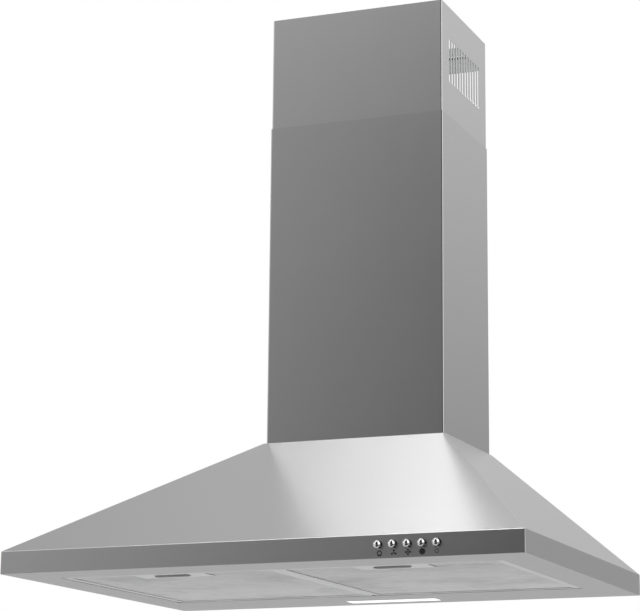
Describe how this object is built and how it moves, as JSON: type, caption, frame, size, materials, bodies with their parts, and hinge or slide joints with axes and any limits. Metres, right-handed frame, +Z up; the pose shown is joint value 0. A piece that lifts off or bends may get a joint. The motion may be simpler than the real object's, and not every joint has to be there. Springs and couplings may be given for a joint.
{
  "type": "range hood",
  "caption": "Wall-mounted chimney range hood with a pyramid canopy, telescoping chimney, drop-down grease filters, lamp, push buttons and a blower with a duct collar.",
  "frame": {"origin": "on the wall plane, midway between the two hanging holes of the rear panel", "axes": "+X to the right seen from the front, +Y into the wall, +Z up"},
  "size_m": [0.598, 0.4723, 0.7157],
  "materials": {
    "canopy_steel": "brushed",
    "underside_steel": "brushed",
    "chimney_steel": "brushed",
    "zinc_steel": "zinc coated",
    "filter_aluminium": "satin",
    "filter_mesh": "expanded mesh",
    "latch_plastic": "satin",
    "button_chrome": "polished",
    "black_plastic": "matte",
    "white_plastic": "satin",
    "lamp_lens": "frosted, lit",
    "board": "lacquered",
    "grey_plastic": "satin",
    "spring_steel": "drawn wire",
    "shaft_steel": "ground",
    "motor_iron": "laminated",
    "rubber": "matte",
    "bronze": "sintered"
  },
  "bodies": {
    "hood": {"canopy_shell": "canopy_steel", "rear_panel": "zinc_steel", "underside_panel": "underside_steel", "lower_chimney": "chimney_steel", "lamp_lens": "lamp_lens", "lamp_housing": "white_plastic", "lamp_board": "board", "button_bezels": "button_chrome", "switch_housing": "black_plastic", "switch_board": "board", "motor_plate": "zinc_steel", "motor_case": "zinc_steel", "motor_cover": "zinc_steel", "motor_bearings": "bronze", "motor_stator": "motor_iron", "motor_bushes": "rubber", "motor_screws": "zinc_steel", "scroll_screws": "zinc_steel", "flange_screws": "zinc_steel", "blower_plate": "zinc_steel", "outlet_collar": "grey_plastic", "collar_screws": "zinc_steel", "chimney_screws": "zinc_steel", "junction_box": "grey_plastic", "junction_lid": "grey_plastic", "terminal_block": "white_plastic", "capacitor": "white_plastic", "cable_gland": "black_plastic", "scroll_left": "zinc_steel", "scroll_right": "zinc_steel", "button_spring_1": "spring_steel", "button_spring_2": "spring_steel", "button_spring_3": "spring_steel", "button_spring_4": "spring_steel", "button_spring_5": "spring_steel"},
    "upper_cover": {"upper_chimney": "chimney_steel", "upper_wall_bracket": "zinc_steel"},
    "fan": {"motor_shaft": "shaft_steel", "motor_rotor": "motor_iron", "wheel_left": "grey_plastic", "wheel_right": "grey_plastic", "shaft_nuts": "grey_plastic"},
    "front_flap": {"flap_front": "grey_plastic"},
    "rear_flap": {"flap_rear": "grey_plastic"},
    "left_filter": {"filter_frame_left": "filter_aluminium", "filter_mesh_left": "filter_mesh", "latch_spring_left": "spring_steel"},
    "left_latch": {"filter_latch_left": "latch_plastic"},
    "right_filter": {"filter_frame_right": "filter_aluminium", "filter_mesh_right": "filter_mesh", "latch_spring_right": "spring_steel"},
    "right_latch": {"filter_latch_right": "latch_plastic"},
    "push_button_1": {"button_1": "button_chrome"},
    "push_button_2": {"button_2": "button_chrome"},
    "push_button_3": {"button_3": "button_chrome"},
    "push_button_4": {"button_4": "button_chrome"},
    "push_button_5": {"button_5": "button_chrome"}
  },
  "joints": [
    {"name": "chimney_slide", "type": "slide", "parent": "hood", "child": "upper_cover", "axis": [0, 0, 1], "range_m": [-0.137, 0.2]},
    {"name": "fan_spin", "type": "hinge", "parent": "hood", "child": "fan", "pos_m": [0, -0.1175, -0.04], "axis": [1, 0, 0], "continuous": true},
    {"name": "front_flap_swing", "type": "hinge", "parent": "hood", "child": "front_flap", "pos_m": [0, -0.0905, 0.0502], "axis": [-1, 0, 0], "range_deg": [0, 80]},
    {"name": "rear_flap_swing", "type": "hinge", "parent": "hood", "child": "rear_flap", "pos_m": [0, -0.0835, 0.0502], "axis": [1, 0, 0], "range_deg": [0, 80]},
    {"name": "left_filter_swing", "type": "hinge", "parent": "hood", "child": "left_filter", "pos_m": [-0.1285, -0.1038, -0.1388], "axis": [1, 0, 0], "range_deg": [0, 60]},
    {"name": "left_latch_slide", "type": "slide", "parent": "left_filter", "child": "left_latch", "axis": [0, 1, 0], "range_m": [0, 0.005], "stiffness_N_per_m": 400, "springref_m": -0.004, "deforming": ["latch_spring_left"]},
    {"name": "right_filter_swing", "type": "hinge", "parent": "hood", "child": "right_filter", "pos_m": [0.1285, -0.1038, -0.1388], "axis": [1, 0, 0], "range_deg": [0, 60]},
    {"name": "right_latch_slide", "type": "slide", "parent": "right_filter", "child": "right_latch", "axis": [0, 1, 0], "range_m": [0, 0.005], "stiffness_N_per_m": 400, "springref_m": -0.004, "deforming": ["latch_spring_right"]},
    {"name": "button_1_press", "type": "slide", "parent": "hood", "child": "push_button_1", "axis": [0, 1, 0], "range_m": [0, 0.0025], "stiffness_N_per_m": 600, "springref_m": -0.001, "deforming": ["button_spring_1"]},
    {"name": "button_2_press", "type": "slide", "parent": "hood", "child": "push_button_2", "axis": [0, 1, 0], "range_m": [0, 0.0025], "stiffness_N_per_m": 600, "springref_m": -0.001, "deforming": ["button_spring_2"]},
    {"name": "button_3_press", "type": "slide", "parent": "hood", "child": "push_button_3", "axis": [0, 1, 0], "range_m": [0, 0.0025], "stiffness_N_per_m": 600, "springref_m": -0.001, "deforming": ["button_spring_3"]},
    {"name": "button_4_press", "type": "slide", "parent": "hood", "child": "push_button_4", "axis": [0, 1, 0], "range_m": [0, 0.0025], "stiffness_N_per_m": 600, "springref_m": -0.001, "deforming": ["button_spring_4"]},
    {"name": "button_5_press", "type": "slide", "parent": "hood", "child": "push_button_5", "axis": [0, 1, 0], "range_m": [0, 0.0025], "stiffness_N_per_m": 600, "springref_m": -0.001, "deforming": ["button_spring_5"]}
  ]
}
